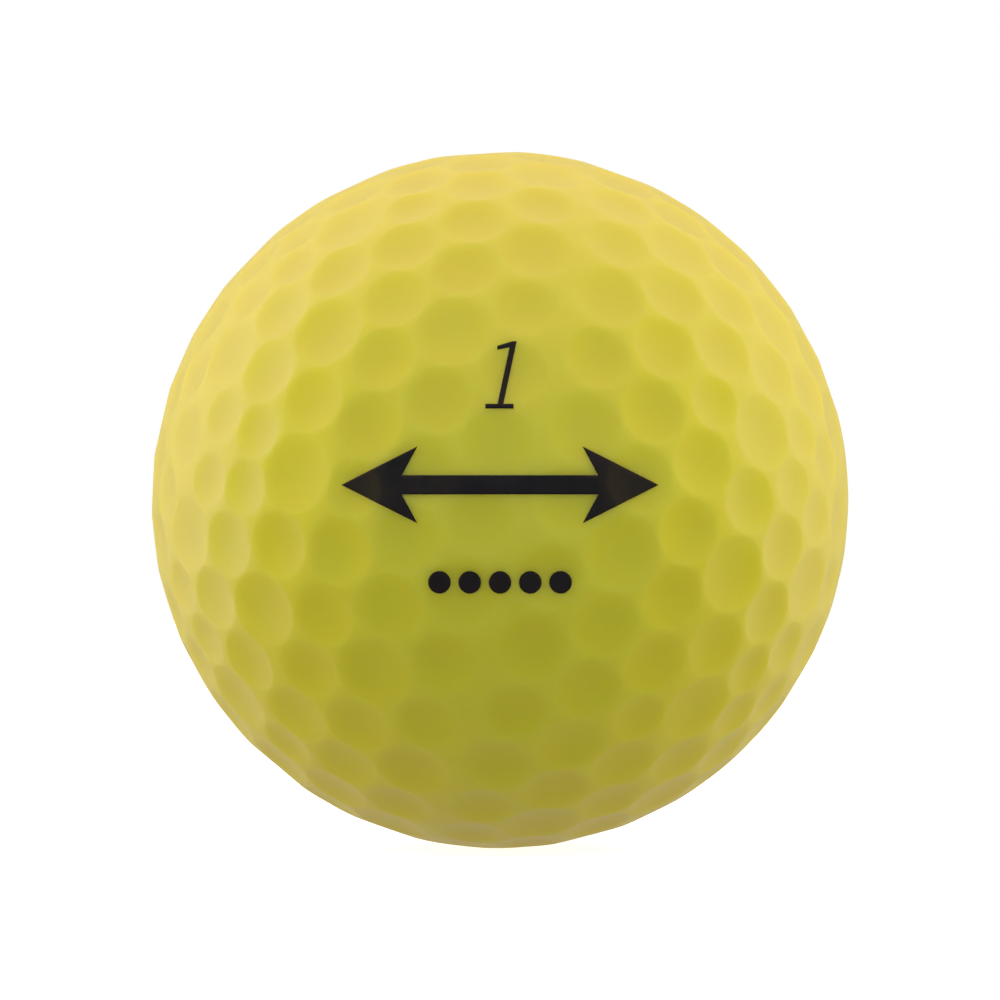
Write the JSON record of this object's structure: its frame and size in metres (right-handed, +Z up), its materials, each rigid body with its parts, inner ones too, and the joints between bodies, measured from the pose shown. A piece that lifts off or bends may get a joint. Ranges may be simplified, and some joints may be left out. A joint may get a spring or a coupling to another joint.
{
  "type": "golf ball",
  "caption": "Matte yellow golf ball with round dimples, a numeral, a two-headed alignment arrow and a row of dots; for play from a tee or turf.",
  "frame": {"origin": "centre of the ball", "axes": "+Z up as the marks are read, -Y out of the marked side, +X to the right of someone reading it"},
  "size_m": [0.0426, 0.0427, 0.0427],
  "materials": {
    "core_rubber": "moulded, matte",
    "mantle_ionomer": "moulded, satin",
    "cover_resin": "translucent yellow resin under a matte clear coat",
    "ink": "matte pad-printed ink"
  },
  "bodies": {
    "root": {"core": "core_rubber", "mantle": "mantle_ionomer", "cover": "cover_resin", "number_print": "ink", "arrow_print": "ink", "dot_print": "ink"}
  },
  "joints": []
}
